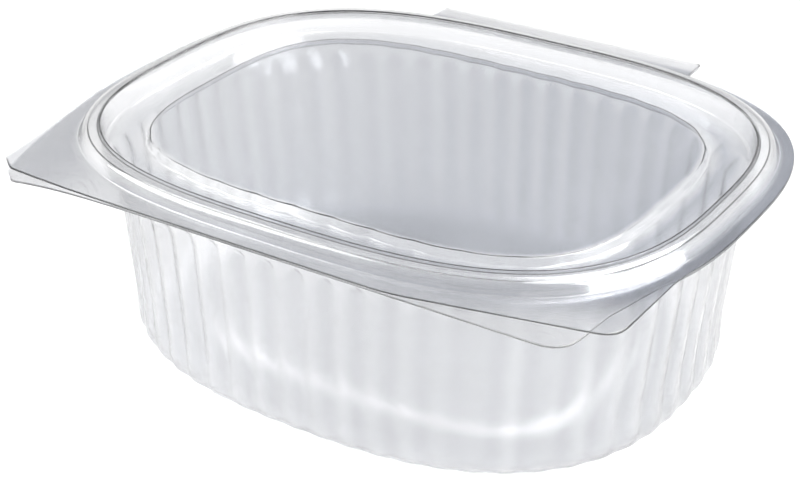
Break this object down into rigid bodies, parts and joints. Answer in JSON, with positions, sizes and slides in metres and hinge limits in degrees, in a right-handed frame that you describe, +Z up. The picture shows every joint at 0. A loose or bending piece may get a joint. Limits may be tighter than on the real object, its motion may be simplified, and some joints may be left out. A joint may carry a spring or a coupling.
{
  "type": "hinged takeaway container",
  "caption": "Clear oval takeaway container with fluted walls and a press-down lid hinged along the back, with corner tabs at the front for opening.",
  "frame": {"origin": "middle of the footprint, hinge strip and front tabs included, on the surface the base rests on", "axes": "+X along the long side, -Y towards the opening edge with the corner tabs, +Y towards the hinge, +Z up"},
  "size_m": [0.19, 0.1589, 0.0644],
  "materials": {
    "tub_sheet": "clear, glossy thermoformed sheet",
    "lid_sheet": "clear, glossy thermoformed sheet"
  },
  "bodies": {
    "tub": {"tub": "tub_sheet"},
    "lid": {"lid": "lid_sheet"}
  },
  "joints": [
    {"name": "lid_hinge", "type": "hinge", "parent": "tub", "child": "lid", "pos_m": [0, 0.07955, 0.06023], "axis": [-1, 0, 0], "range_deg": [0, 180]}
  ]
}
